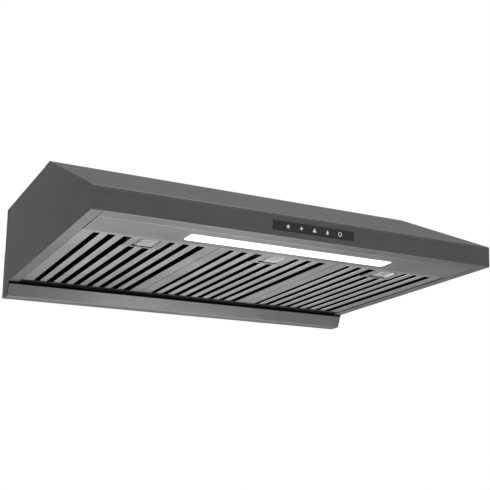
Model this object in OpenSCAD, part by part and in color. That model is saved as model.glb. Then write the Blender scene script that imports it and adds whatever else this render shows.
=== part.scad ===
// Under cabinet range hood: a folded sheet casing with a sloped front, a touch strip on the
// fascia, a light bar, three baffle filters, an oil tray along the wall and a twin-wheel blower.
// Origin: centre of the cabinet screw pattern on the top face. +Z up, the front faces -Y.

/* [Casing] */
// Overall width
hood_w = 908; // [890:1:930]
// Depth from the wall to the fascia
hood_d = 570; // [565:1:585]
// Height from the underside to the top face
hood_h = 183; // [180:1:190]
// Depth of the flat top
top_d = 320; // [316:1:324]
// Height of the fascia
fascia_h = 42.3; // [41:0.1:46]
// How far the fascia leans back at its lower edge
fascia_lean = 7.4; // [5:0.1:9]
// Thickness of the casing sheet
sheet = 1.2; // [1:0.1:1.4]
// Width of the strip at each side of the underside
side_strip = 24; // [22:1:26]
// Depth of the flange folded back under the fascia
front_flange = 27; // [25:1:30]
// Depth of the light panel
light_panel_d = 78; // [76:1:80]

/* [Light and controls] */
// Length of the light bar
led_w = 470; // [400:5:520]
// Depth of the light bar
led_d = 35; // [32:1:38]
// Width of the touch strip
touch_w = 187; // [170:1:200]
// Height of the touch strip
touch_h = 17.6; // [16:0.1:20]
// Distance between touch symbols
symbol_pitch = 30; // [26:1:34]
// Size of a touch symbol
symbol_size = 9; // [7:0.5:11]

/* [Filters] */
// Depth of a filter, front to back
filter_d = 400; // [398:1:401]
// Thickness of a filter
filter_h = 20; // [19:0.5:21]
// Number of slots in a filter
slot_count = 8; // [8:2:8]
// Distance between slots
slot_pitch = 31.1; // [30.5:0.1:31.5]
// Width of a slot
slot_w = 14.6; // [13.5:0.1:15]
// Depth of the plate around the latch
latch_plate_d = 66.5; // [66:0.5:70]
// Height of the filters' underside above the casing's
filter_rise = 1.8; // [1:0.1:2.5]
// How far a latch slides back
latch_travel = 7; // [5:0.5:7]

/* [Oil tray] */
// Depth of the tray at its mouth
tray_d = 45; // [43:1:47]
// Height of the tray
tray_h = 27.5; // [24:0.5:30]

/* [Blower and duct] */
// Radius of the scroll
scroll_r = 63; // [62:0.5:64]
// Width of the blower housing
blower_w = 270; // [266:2:280]
// Outer radius of a blower wheel
wheel_r = 50; // [46:1:52]
// Width of a blower wheel
wheel_w = 60; // [54:1:62]
// Number of blades on a wheel
blade_count = 28; // [20:2:36]
// Outer radius of the duct collar
collar_r = 75; // [74:0.5:75]
// Height of the duct collar
collar_h = 48; // [40:1:60]

/* [Mounting] */
// Distance between cabinet screws, side to side
cabinet_pitch_x = 760; // [700:10:800]
// Distance between cabinet screws, front to back
cabinet_pitch_y = 240; // [220:5:250]
// Distance between wall screws
wall_pitch = 700; // [600:10:760]
// Radius of a mounting hole
mount_hole_r = 3.5; // [3:0.1:4]

/* [Hidden] */

// Casing
black_steel = "#5c5b5a";
bright_steel = "#9b9a98";
half_w = hood_w / 2;
rear_y = top_d / 2;
front_y = rear_y - hood_d;
ridge_y = -top_d / 2;
base_z = -hood_h;
fascia_base_y = front_y + fascia_lean;
fascia_angle = atan(fascia_lean / fascia_h);
strip_x = half_w - side_strip;
inner_x = half_w - sheet;
notch_d = 20;
notch_z = -100;
// Depth of the ear beside the oil tray, at its top and at its foot
ear_top_d = 49.6;
ear_low_d = 33.7;
// Step where the top panel laps under the front panel's top flange
lap_d = 26;

// Underside
seam = 1;
light_front_y = fascia_base_y + front_flange + seam;
light_rear_y = light_front_y + light_panel_d;
led_y = light_front_y + 42.4;
housing_h = 15;

// Controls, measured up the fascia
touch_z = 21.2;
carrier_w = touch_w + 10;
carrier_h = touch_h + 10;

// Filters
filter_count = 3;
filter_pitch = 2 * strip_x / filter_count;
filter_w = filter_pitch - 1.3;
filter_front_y = light_rear_y + seam;
filter_rear_y = filter_front_y + filter_d;
filter_sheet = 1;
filter_z = base_z + filter_rise;
strip_w = slot_pitch - slot_w;
end_lip = 13;
side_lip = (filter_w - (slot_count - 1) * slot_pitch - slot_w) / 2;
latch_plate_w = 3 * strip_w + 2 * slot_w;
baffle_leg = 11;
rear_baffle_w = 26;
window_w = 45;
window_d = 46;
window_front = 15;
slider_w = 38;
slider_d = 56;
slider_z = filter_z + filter_sheet + 0.2;
tongue_w = 26;
tongue_out = 8;
tongue_t = 2;
tongue_z = slider_z + 1.2;
spring_x = -18.6;
// How far the latch and its tongue stand off the filter's centre line
latch_x = 2;

// Oil tray
tray_top_z = base_z - 2.5;
tray_base_z = tray_top_z - tray_h;
tray_w = 2 * (inner_x - 1.3);
// How far the tray's front leans back towards its foot
tray_lean = 14.5;
tray_rear_y = rear_y - 3;

// Blower
axis_y = rear_y - 165;
axis_z = -90;
plenum_front_y = rear_y - 208;
plenum_rear_y = rear_y - 58;
plenum_z = axis_z + scroll_r - 3;
duct_y = rear_y - 133;
motor_r = 42;
motor_w = 90;
shaft_r = 5;
shaft_w = 164;
wheel_x = motor_w / 2 + 17;
inlet_r = 42;
collar_wall = 1.5;
flap_r = collar_r - collar_wall - 1.6;
flap_gap = 5;
flap_z = 16;
rod_r = 1.6;
running = 0.05;
screw_x = blower_w / 2 + 6;
blower_screw_points = [for (x = [-screw_x, screw_x], y = [plenum_front_y + 20, plenum_rear_y - 20]) [x, y]];
collar_screw_r = 85;

// Services
gland_x = -390;
gland_y = rear_y - 80;
gland_r = 11;
cable_r = 5;
box_x0 = gland_x - 45;
box_x1 = gland_x + 75;
box_y0 = gland_y - 45;
box_y1 = gland_y + 35;
box_h = 48;

// Fineness of curves
$fn = 64;

// Unit normal to the left of the line from a to b
function left_normal(a, b) = [a[1] - b[1], b[0] - a[0]] / norm(b - a);

// The path moved sideways by t, with mitred corners
function offset_path(path, t) = [
    for (i = [0 : len(path) - 1])
        let(last = len(path) - 1)
        let(m = left_normal(path[max(i - 1, 0)], path[max(i, 1)]))
        let(n = left_normal(path[min(i, last - 1)], path[min(i + 1, last)]))
        path[i] + (m + n) * t / (1 + m * n)
];

function reversed(list) = [for (i = [len(list) - 1 : -1 : 0]) list[i]];

// Block between two opposite corners
module block(low, high) {
    translate(low) cube(high - low);
}

// Outline in Y and Z, extruded along X from x0 to x1
module along_x(outline, x0, x1) {
    translate([x0, 0, 0]) rotate([90, 0, 90]) linear_extrude(x1 - x0) polygon(outline);
}

// Folded sheet: the path in Y and Z, thickened to its left by t
module folded(path, t, x0, x1) {
    along_x(concat(path, reversed(offset_path(path, t))), x0, x1);
}

// Cylinder along X
module x_cylinder(r, x0, x1) {
    translate([x0, 0, 0]) rotate([0, 90, 0]) cylinder(h = x1 - x0, r = r);
}

// Tube along X
module x_tube(r_out, r_in, x0, x1) {
    difference() {
        x_cylinder(r_out, x0, x1);
        x_cylinder(r_in, x0 - 1, x1 + 1);
    }
}

// Upright plate or flat plate with round corners, centred on the origin
module rounded_plate(w, d, h, r) {
    linear_extrude(h) {
        square([w - 2 * r, d], center = true);
        square([w, d - 2 * r], center = true);
        for (x = [-1, 1], y = [-1, 1]) {
            translate([x * (w / 2 - r), y * (d / 2 - r)]) circle(r);
        }
    }
}

// Places children on the fascia: X across, Z up the fascia, Y = 0 on its outer face
module on_fascia() {
    translate([0, fascia_base_y, base_z]) rotate([fascia_angle, 0, 0]) children();
}

// Places children at the blower's axis
module at_blower() {
    translate([0, axis_y, axis_z]) children();
}

// Four corners of a rectangle
module at_corners(pitch_x, pitch_y) {
    for (x = [-1, 1], y = [-1, 1]) {
        translate([x * pitch_x / 2, y * pitch_y / 2, 0]) children();
    }
}

// Outer face of the front panel, from the rear of its lower flange to the top flange
front_path = [
    [fascia_base_y + front_flange, base_z],
    [fascia_base_y, base_z],
    [front_y, base_z + fascia_h],
    [ridge_y, 0],
    [ridge_y + lap_d, 0]
];
front_inside = offset_path(front_path, -sheet);

module front_panel() {
    color(black_steel) difference() {
        folded(front_path, -sheet, -half_w, half_w);
        // The lower flange ends at the side strips
        for (side = [0, 1]) {
            mirror([side, 0, 0])
                block([strip_x, front_inside[1][0], base_z - 1],
                    [half_w + 1, light_rear_y, base_z + sheet]);
        }
        on_fascia() translate([0, 5, touch_z]) rotate([90, 0, 0])
            rounded_plate(touch_w + 0.6, touch_h + 0.6, 10, 1.3);
    }
}

module top_panel() {
    path = [
        [ridge_y + 8, -sheet],
        [ridge_y + lap_d + 0.4, -sheet],
        [ridge_y + lap_d + 3.6, 0],
        [rear_y - sheet, 0],
        [rear_y - sheet, -10]
    ];
    color(black_steel) difference() {
        folded(path, -sheet, -inner_x, inner_x);
        translate([0, 0, -5]) at_corners(cabinet_pitch_x, cabinet_pitch_y)
            cylinder(h = 10, r = mount_hole_r);
        translate([0, duct_y, -5]) cylinder(h = 10, r = collar_r - collar_wall);
        translate([gland_x, gland_y, -5]) cylinder(h = 10, r = gland_r);
        for (p = blower_screw_points) {
            translate([p[0], p[1], -5]) cylinder(h = 10, r = 2.05);
        }
    }
}

// Side sheet with its lower strip, its ear beside the oil tray and its top flange
module side_panel(side) {
    outline = [
        [rear_y - 2, tray_base_z],
        [rear_y - ear_low_d, tray_base_z],
        [rear_y - ear_top_d, base_z],
        front_inside[1],
        front_inside[2],
        front_inside[3],
        [rear_y - notch_d, -sheet],
        [rear_y - notch_d, notch_z],
        [rear_y - 2, notch_z - 5]
    ];
    color(black_steel) mirror([side, 0, 0]) {
        along_x(outline, inner_x, half_w);
        block([strip_x, front_inside[1][0], base_z],
            [half_w - sheet / 2, rear_y - ear_top_d, base_z + sheet]);
        block([inner_x - 12, ridge_y + lap_d + 4, -2 * sheet],
            [half_w - sheet / 2, rear_y - notch_d, -sheet]);
    }
}

module left_side_panel() {
    side_panel(1);
}

module right_side_panel() {
    side_panel(0);
}

// Back sheet with side flanges, and a lower flange that ends in a lip
module back_panel() {
    lower = [
        [rear_y, -sheet],
        [rear_y, base_z],
        [rear_y - 29.8, base_z],
        [rear_y - 29.8, base_z + 15]
    ];
    color(black_steel) difference() {
        union() {
            folded(lower, -sheet, -strip_x, strip_x);
            block([-inner_x, rear_y - sheet, base_z], [inner_x, rear_y, -sheet]);
            for (side = [0, 1]) {
                mirror([side, 0, 0])
                    along_x([
                        [rear_y, base_z + 1.4],
                        [rear_y - 34, base_z + 1.4],
                        [rear_y - 34, -3.4],
                        [rear_y - 20, -3.4],
                        [rear_y, -12]
                    ], inner_x - sheet, inner_x);
            }
        }
        for (x = [-wall_pitch / 2, wall_pitch / 2]) {
            translate([x, rear_y + 5, -40]) rotate([90, 0, 0]) cylinder(h = 10, r = mount_hole_r);
        }
    }
}

// Panel that carries the light bar, with a folded edge along each long side
module light_panel() {
    path = [
        [light_front_y, base_z + 10],
        [light_front_y, base_z],
        [light_rear_y, base_z],
        [light_rear_y, base_z + filter_h + 2]
    ];
    color(bright_steel) difference() {
        folded(path, sheet, -strip_x + seam, strip_x - seam);
        translate([0, led_y, base_z - 5]) rounded_plate(led_w + 0.8, led_d + 0.8, 10, 5.4);
        for (i = [1 : filter_count]) {
            at_filter(i) block([-tongue_w / 2 - 1, light_rear_y - 5, tongue_z - 1],
                [tongue_w / 2 + 1, light_rear_y + 5, tongue_z + tongue_t + 1]);
        }
    }
}

// Ledge behind the filters that carries their rear tabs
module rear_filter_rail() {
    ledge_z = filter_z - sheet - 0.1;
    path = [
        [rear_y - 55, ledge_z],
        [rear_y - 31, ledge_z],
        [rear_y - 31, base_z + 22]
    ];
    color(bright_steel) folded(path, sheet, -strip_x + seam, strip_x - seam);
}

module led_lens() {
    color("#ffffff") {
        translate([0, led_y, base_z - 0.6]) rounded_plate(led_w, led_d, sheet + 2.6, 5);
        translate([0, led_y, base_z + sheet]) rounded_plate(led_w + 8, led_d + 6, 2, 6);
    }
}

module led_board() {
    color("#e8e8e0")
        block([-led_w / 2 + 5, led_y - 9, base_z + 9], [led_w / 2 - 5, led_y + 9, base_z + 10.6]);
}

// Tray above the light bar, open towards the lens
module led_housing() {
    color("#c8c8c6") difference() {
        translate([0, led_y, base_z + sheet]) rounded_plate(led_w + 12, led_d + 10, housing_h, 7);
        translate([0, led_y, base_z]) rounded_plate(led_w + 9, led_d + 7, housing_h, 6.2);
    }
}

// Rectangular plate standing on the fascia's plane, from depth y0 to y1
module fascia_plate(w, h, y0, y1, r) {
    on_fascia() translate([0, y1, touch_z]) rotate([90, 0, 0]) rounded_plate(w, h, y1 - y0, r);
}

module touch_glass() {
    color("#1c1c1e") fascia_plate(touch_w, touch_h, -0.5, 2.4, 1);
}

// Star with n points, outer radius r and inner radius q
module star(n, r, q) {
    polygon([for (i = [0 : 2 * n - 1]) (i % 2 == 0 ? r : q) * [sin(180 * i / n), cos(180 * i / n)]]);
}

module drop(r) {
    translate([0, -r / 3]) circle(r * 0.62);
    polygon([[-r * 0.56, -r * 0.1], [0, r], [r * 0.56, -r * 0.1]]);
}

module ring(r) {
    difference() {
        circle(r);
        circle(r * 0.68);
        translate([-r * 0.16, r * 0.2]) square([r * 0.32, r]);
    }
}

// One of the five touch symbols
module symbol(index) {
    r = symbol_size / 2;
    if (index == 0) star(5, r, r * 0.5);
    if (index == 1) star(4, r, r * 0.4);
    if (index == 2) polygon([[-r, -r * 0.8], [r, -r * 0.8], [0, r]]);
    if (index == 3) drop(r);
    if (index == 4) ring(r);
}

module touch_symbols() {
    color("#f0f0f0") on_fascia() translate([0, -0.5, touch_z]) rotate([90, 0, 0]) linear_extrude(0.2)
        for (i = [0 : 4]) {
            translate([(i - 2) * symbol_pitch, 0]) symbol(i);
        }
}

// Frame behind the fascia that holds the glass
module control_carrier() {
    color("#2a2a2c") difference() {
        fascia_plate(carrier_w, carrier_h, sheet, 4.4, 2);
        fascia_plate(touch_w + 0.2, touch_h + 0.2, 0, 2.4, 1);
    }
}

module control_board() {
    color("#1f5a34") fascia_plate(carrier_w - 14, carrier_h - 8, 6, 7.6, 1);
}

module control_cover() {
    color("#2a2a2c") difference() {
        fascia_plate(carrier_w, carrier_h, 4.4, 22, 2);
        fascia_plate(carrier_w - 4, carrier_h - 4, 4, 20, 1);
    }
}

// Places children on the centre line of filter i
module at_filter(i) {
    translate([(i - (filter_count + 1) / 2) * filter_pitch, 0, 0]) children();
}

// Rim of a filter, with its latch plate, latch cover and rear tabs
module filter_frame(i) {
    hw = filter_w / 2;
    f = filter_front_y;
    r = filter_rear_y;
    t = filter_sheet;
    color(bright_steel) at_filter(i) {
        difference() {
            block([-hw, f, filter_z], [hw, r, filter_z + filter_h]);
            block([-hw + t, f + t, filter_z + t], [hw - t, r - t, filter_z + filter_h - t]);
            block([-hw + side_lip, f + latch_plate_d, filter_z - 1],
                [hw - side_lip, r - end_lip, filter_z + 2]);
            for (side = [0, 1]) {
                mirror([side, 0, 0])
                    block([latch_plate_w / 2, f + end_lip, filter_z - 1],
                        [hw - side_lip, f + latch_plate_d + 1, filter_z + 2]);
            }
            block([-hw + end_lip, f + end_lip, filter_z + filter_h - 2],
                [hw - end_lip, r - end_lip, filter_z + filter_h + 1]);
            block([-window_w / 2, f + window_front, filter_z - 1],
                [window_w / 2, f + window_front + window_d, filter_z + 2]);
            block([-tongue_w / 2 - 1, f - 1, tongue_z - 0.4],
                [tongue_w / 2 + 1, f + 2, tongue_z + tongue_t + 0.4]);
        }
        latch_cover();
        for (x = [-hw * 0.6, hw * 0.6]) {
            block([x - 15, r - 2, filter_z], [x + 15, r + 11, filter_z + t]);
        }
    }
}

// Hat over the latch, open at its front and rear
module latch_cover() {
    f = filter_front_y;
    top_z = filter_z + 6;
    difference() {
        block([-window_w / 2 - 9, f + 10, filter_z + 0.5],
            [window_w / 2 + 9, f + latch_plate_d - 2, top_z]);
        block([-window_w / 2 - 7.8, f + 8, filter_z],
            [window_w / 2 + 7.8, f + latch_plate_d, top_z - 1.2]);
    }
}

// Channels between the slots, legs up
module front_baffles(i) {
    color(bright_steel) at_filter(i) for (k = [1 : slot_count - 1]) {
        x = (k - slot_count / 2) * slot_pitch;
        short = abs(x) < latch_plate_w / 2;
        y0 = filter_front_y + (short ? latch_plate_d - 2 : filter_sheet);
        front_baffle(x, y0, filter_rear_y - filter_sheet);
    }
}

module front_baffle(x, y0, y1) {
    t = filter_sheet;
    z = filter_z + t;
    block([x - strip_w / 2, y0, z], [x + strip_w / 2, y1, z + t]);
    for (e = [x - strip_w / 2, x + strip_w / 2 - t]) {
        block([e, y0, z + t / 2], [e + t, y1, z + baffle_leg]);
    }
}

// Channels over the slots, legs down
module rear_baffles(i) {
    t = filter_sheet;
    z = filter_z + filter_h - t;
    color(bright_steel) at_filter(i) for (k = [1 : slot_count]) {
        x = (k - (slot_count + 1) / 2) * slot_pitch;
        short = abs(x) < slot_pitch;
        y0 = filter_front_y + filter_sheet;
        y1 = filter_rear_y - filter_sheet;
        block([x - rear_baffle_w / 2, y0, z - t], [x + rear_baffle_w / 2, y1, z]);
        for (e = [x - rear_baffle_w / 2, x + rear_baffle_w / 2 - t]) {
            block([e, short ? y0 + latch_plate_d : y0, z - baffle_leg + 2], [e + t, y1, z - t / 2]);
        }
    }
}

// Sliding latch with a finger rim in its window and a peg that the spring pulls
module latch(i) {
    f = filter_front_y;
    rim_w = slider_w - 2;
    rim_d = window_d - latch_travel - 2;
    rim_y = f + window_front + 1;
    color("#c4c3c0") at_filter(i) translate([latch_x, 0, 0]) {
        block([-slider_w / 2, f + 2.5, slider_z], [slider_w / 2, f + slider_d, slider_z + 1.2]);
        difference() {
            block([-rim_w / 2, rim_y, filter_z - 0.8], [rim_w / 2, rim_y + rim_d, slider_z + 0.5]);
            block([-rim_w / 2 + 1.6, rim_y + 1.6, filter_z - 2],
                [rim_w / 2 - 1.6, rim_y - 1.6 + rim_d, slider_z + 0.2]);
        }
        block([spring_x - 4, f + 51, slider_z], [spring_x + 1, f + 53, slider_z + 3]);
    }
}

// Tongue on the latch, over the edge of the light panel
module tongue(i) {
    f = filter_front_y;
    color("#b9b9b7") at_filter(i) translate([latch_x, 0, tongue_z])
        block([-tongue_w / 2 + 2, f - tongue_out, 0], [tongue_w / 2 - 2, f + 14, tongue_t]);
}

// Pulls the latch forward; its front end hooks behind the frame's front wall
module latch_spring(i) {
    wire = 0.5;
    turn_r = 1.5;
    turns = 9;
    y0 = filter_front_y + 17;
    pitch = 33 / turns;
    color("#d8d8d6") at_filter(i) translate([spring_x, 0, slider_z + turn_r + 0.4]) {
        rotate([-90, 0, 0]) translate([0, 0, y0]) cylinder(h = 33.8, r = 0.8, $fn = 16);
        for (k = [0 : turns]) {
            translate([0, y0 + k * pitch, 0]) rotate([-90, 0, 0])
                cylinder(h = wire * 2, r = turn_r, $fn = 24);
        }
    }
}

// Trough with a leaning front and closed ends
module oil_tray() {
    hw = tray_w / 2;
    front_top = tray_rear_y - tray_d;
    outer = [
        [tray_rear_y, tray_top_z],
        [tray_rear_y, tray_base_z],
        [front_top + tray_lean, tray_base_z],
        [front_top, tray_top_z],
        [front_top + 6, tray_top_z]
    ];
    end = [for (k = [0 : 3]) outer[k]];
    color(black_steel) {
        folded(outer, -sheet, -hw, hw);
        along_x(end, -hw, -hw + sheet);
        along_x(end, hw - sheet, hw);
    }
}

// Sprung clips under the back panel that grip the tray's rear wall
module tray_clips() {
    y = tray_rear_y;
    top_z = base_z - sheet;
    leaf_z = tray_top_z - 8;
    color("#b9b9b7") for (x = [-300, 0, 300]) {
        translate([x, 0, 0]) {
            block([-9, y - 6, top_z], [9, y + 1.6, base_z]);
            block([-9, y + 0.4, leaf_z], [9, y + 1.6, top_z + 0.5]);
            block([-9, y - sheet - 1.6, leaf_z], [9, y - sheet - 0.4, top_z + 0.5]);
        }
    }
}

// Outline of the blower in Y and Z about its axis, grown by g
module blower_outline(g) {
    circle(scroll_r + g);
    translate([0, -g]) square([rear_y - 102 - axis_y + g, plenum_z - axis_z + 2 * g]);
    translate([plenum_front_y - axis_y - g, plenum_z - axis_z - g])
        square([plenum_rear_y - plenum_front_y + 2 * g, -sheet - plenum_z + g]);
}

module along_axis(x0, x1) {
    at_blower() translate([x0, 0, 0]) rotate([90, 0, 90]) linear_extrude(x1 - x0) children();
}

// Wrapper of the blower, open at both ends and at the top
module blower_housing() {
    hw = blower_w / 2;
    color("#b4b4b2") difference() {
        union() {
            along_axis(-hw, hw) blower_outline(0);
            block([-hw - 12, plenum_front_y, -2 * sheet], [hw + 12, plenum_rear_y, -sheet]);
        }
        along_axis(-hw - 1, hw + 1) blower_outline(-sheet);
        block([-hw + sheet, plenum_front_y + sheet, plenum_z + 5], [hw - sheet, plenum_rear_y - sheet, 1]);
        for (p = blower_screw_points) {
            translate([p[0], p[1], -5]) cylinder(h = 10, r = 2.05);
        }
    }
}

// End of the blower with its inlet and bell mouth; side is 1 on the left
module end_plate(side) {
    hw = blower_w / 2;
    color("#b4b4b2") mirror([side, 0, 0]) difference() {
        union() {
            along_axis(hw, hw + sheet) difference() {
                blower_outline(0);
                translate([-200, -2 * sheet - axis_z]) square([400, 20]);
            }
            at_blower() x_tube(inlet_r + 4, inlet_r, hw - 4, hw + 6);
        }
        at_blower() x_cylinder(inlet_r, hw - 10, hw + 10);
    }
}

module left_end_plate() {
    end_plate(1);
}

module right_end_plate() {
    end_plate(0);
}

module motor() {
    color("#3c3d40") at_blower() difference() {
        union() {
            x_cylinder(motor_r, -motor_w / 2 + 8, motor_w / 2 - 8);
            x_cylinder(motor_r - 6, -motor_w / 2, motor_w / 2);
            x_cylinder(13, -motor_w / 2 - 6, motor_w / 2 + 6);
        }
        x_cylinder(shaft_r + running, -motor_w, motor_w);
    }
}

// Strap round the motor with three arms to the scroll
module motor_bracket() {
    color("#b4b4b2") at_blower() {
        x_tube(motor_r + 1.6, motor_r, -12, 12);
        intersection() {
            for (a = [210, 270, 330]) {
                rotate([a, 0, 0]) block([-10, motor_r + 1, -1], [10, scroll_r, 1]);
            }
            x_cylinder(scroll_r - sheet - 0.2, -20, 20);
        }
    }
}

module motor_shaft() {
    color("#c9c9c8") at_blower() x_cylinder(shaft_r, -shaft_w / 2, shaft_w / 2);
}

// Wheel with a hub plate on the motor side and a ring at the inlet; side is 1 on the left
module wheel(side) {
    depth = 11;
    color("#8e9092") mirror([side, 0, 0]) at_blower() {
        difference() {
            union() {
                x_cylinder(wheel_r, wheel_x, wheel_x + 1.5);
                x_cylinder(12, wheel_x, wheel_x + 16);
            }
            x_cylinder(shaft_r, wheel_x - 1, wheel_x + 20);
        }
        x_tube(wheel_r, wheel_r - depth, wheel_x + wheel_w - 3, wheel_x + wheel_w);
        for (k = [0 : blade_count - 1]) {
            rotate([k * 360 / blade_count, 0, 0]) translate([0, wheel_r - depth / 2, 0]) rotate([35, 0, 0])
                block([wheel_x + 1, -depth / 2 + 0.4, -0.4], [wheel_x + wheel_w - 1, depth / 2 - 0.6, 0.4]);
        }
    }
}

module left_wheel() {
    wheel(1);
}

module right_wheel() {
    wheel(0);
}

// Round spigot for the duct, on a flange
module duct_collar() {
    color("#a9a9a7") translate([0, duct_y, 0]) difference() {
        union() {
            cylinder(h = sheet, r = collar_r + 17, $fn = 96);
            cylinder(h = collar_h, r = collar_r, $fn = 96);
        }
        translate([0, 0, -1]) cylinder(h = collar_h + 2, r = collar_r - collar_wall, $fn = 96);
        for (a = [0 : 60 : 300]) {
            rotate([0, 0, a]) translate([collar_screw_r, 0, -1]) cylinder(h = 5, r = 1.8, $fn = 24);
        }
    }
}

// Two pins across the collar that carry the flaps
module damper_rods() {
    reach = sqrt(pow(collar_r - collar_wall, 2) - pow(flap_gap, 2)) - 0.4;
    color("#c9c9c8") for (s = [-1, 1]) {
        translate([0, duct_y + s * flap_gap, flap_z]) x_cylinder(rod_r, -reach, reach);
    }
}

// Half disc on a sleeve round its pin; s is -1 at the front and 1 at the rear
module damper_flap(s) {
    sleeve_r = rod_r + 1.2;
    color("#a9a9a7") translate([0, duct_y, flap_z]) difference() {
        union() {
            translate([0, s * flap_gap, 0]) x_cylinder(sleeve_r, -flap_r + 3, flap_r - 3);
            intersection() {
                translate([0, 0, -sleeve_r]) cylinder(h = 1, r = flap_r, $fn = 96);
                translate([0, s * (flap_gap + 50), 0]) cube([200, 100, 20], center = true);
            }
        }
        translate([0, s * flap_gap, 0]) x_cylinder(rod_r + running, -100, 100);
    }
}

module front_damper_flap() {
    damper_flap(-1);
}

module rear_damper_flap() {
    damper_flap(1);
}

// Box under the top panel where the mains cable is joined
module wiring_box() {
    top = -2 * sheet - 0.1;
    color("#b4b4b2") difference() {
        block([box_x0, box_y0, top - box_h], [box_x1, box_y1, top]);
        block([box_x0 + 1, box_y0 + 1, top - box_h - 1], [box_x1 - 1, box_y1 - 1, top - 1]);
        translate([gland_x, gland_y, -20]) cylinder(h = 30, r = gland_r);
    }
}

module wiring_cover() {
    z = -2 * sheet - 0.1 - box_h;
    color("#b4b4b2") {
        block([box_x0 - 1, box_y0 - 1, z - 1], [box_x1 + 1, box_y1 + 1, z]);
        for (x = [box_x0 + 12, box_x1 - 12]) {
            translate([x, (box_y0 + box_y1) / 2, z - 3]) cylinder(h = 2.5, r = 4);
        }
    }
}

// Gland in the top panel with its nut below and its cap above
module cable_gland() {
    color("#2a2a2c") translate([gland_x, gland_y, 0]) difference() {
        union() {
            translate([0, 0, -16]) cylinder(h = 26, r = gland_r - 0.1);
            cylinder(h = 5, r = gland_r + 4, $fn = 6);
            translate([0, 0, 5]) cylinder(h = 12, r = gland_r + 1.5);
            translate([0, 0, -8.6]) cylinder(h = 5, r = gland_r + 4, $fn = 6);
        }
        translate([0, 0, -20]) cylinder(h = 40, r = cable_r);
    }
}

module capacitor() {
    color("#d9d9d4") translate([230, rear_y - 60, -20]) rotate([0, 90, 0]) {
        cylinder(h = 60, r = 16);
        translate([0, 0, 60]) cylinder(h = 8, r = 10);
        translate([-19 + sheet, -9, 18]) cube([6, 18, 20]);
    }
}

module light_driver() {
    color("#e4e4e0") block([190, rear_y - 250, -30], [300, rear_y - 205, -sheet]);
}

// Pan-headed screw, head up, with its seat at the origin
module screw(r, length) {
    cylinder(h = r * 1.2, r = r * 2);
    translate([0, 0, -length]) cylinder(h = length + 0.5, r = r);
}

module collar_screws() {
    color("#c9c9c8") translate([0, duct_y, sheet]) for (a = [0 : 60 : 300]) {
        rotate([0, 0, a]) translate([collar_screw_r, 0, 0]) screw(1.7, sheet);
    }
}

// Screws seen from above, holding the blower's flange to the top panel
module blower_screws() {
    color("#c9c9c8") for (p = blower_screw_points) {
        translate([p[0], p[1], 0]) screw(2, 8);
    }
}

top_panel();
front_panel();
left_side_panel();
right_side_panel();
back_panel();
light_panel();
rear_filter_rail();
led_lens();
led_board();
led_housing();
touch_glass();
touch_symbols();
control_carrier();
control_board();
control_cover();
filter_frame(1);  // filter_1_frame
front_baffles(1);  // filter_1_front_baffles
rear_baffles(1);  // filter_1_rear_baffles
latch(1);  // filter_1_latch
tongue(1);  // filter_1_tongue
latch_spring(1);  // filter_1_spring
filter_frame(2);  // filter_2_frame
front_baffles(2);  // filter_2_front_baffles
rear_baffles(2);  // filter_2_rear_baffles
latch(2);  // filter_2_latch
tongue(2);  // filter_2_tongue
latch_spring(2);  // filter_2_spring
filter_frame(3);  // filter_3_frame
front_baffles(3);  // filter_3_front_baffles
rear_baffles(3);  // filter_3_rear_baffles
latch(3);  // filter_3_latch
tongue(3);  // filter_3_tongue
latch_spring(3);  // filter_3_spring
oil_tray();
tray_clips();
blower_housing();
left_end_plate();
right_end_plate();
motor();
motor_bracket();
motor_shaft();
left_wheel();
right_wheel();
duct_collar();
damper_rods();
front_damper_flap();
rear_damper_flap();
wiring_box();
wiring_cover();
cable_gland();
capacitor();
light_driver();
collar_screws();
blower_screws();
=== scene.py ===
"""Looks of the under cabinet range hood: folded sheet steel, slotted filters, light bar and touch strip."""

import math

import bmesh
import bpy
from mathutils import Matrix, Vector


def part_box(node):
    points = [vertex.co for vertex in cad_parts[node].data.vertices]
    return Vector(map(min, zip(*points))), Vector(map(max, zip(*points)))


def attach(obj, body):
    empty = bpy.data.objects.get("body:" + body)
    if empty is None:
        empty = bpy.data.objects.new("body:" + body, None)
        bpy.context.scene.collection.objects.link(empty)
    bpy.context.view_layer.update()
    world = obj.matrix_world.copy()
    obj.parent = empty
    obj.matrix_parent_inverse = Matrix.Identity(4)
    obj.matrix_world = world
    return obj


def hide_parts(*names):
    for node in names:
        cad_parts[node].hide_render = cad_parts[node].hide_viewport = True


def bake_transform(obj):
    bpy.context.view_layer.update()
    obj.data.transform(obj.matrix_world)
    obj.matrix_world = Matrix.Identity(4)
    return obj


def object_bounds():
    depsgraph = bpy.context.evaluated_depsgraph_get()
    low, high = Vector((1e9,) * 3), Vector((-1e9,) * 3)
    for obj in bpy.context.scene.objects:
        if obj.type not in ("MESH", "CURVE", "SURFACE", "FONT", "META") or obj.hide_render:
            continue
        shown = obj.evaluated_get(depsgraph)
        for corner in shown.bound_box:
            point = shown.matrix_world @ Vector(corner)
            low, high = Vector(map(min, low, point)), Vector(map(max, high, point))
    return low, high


MM = 0.001

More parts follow.
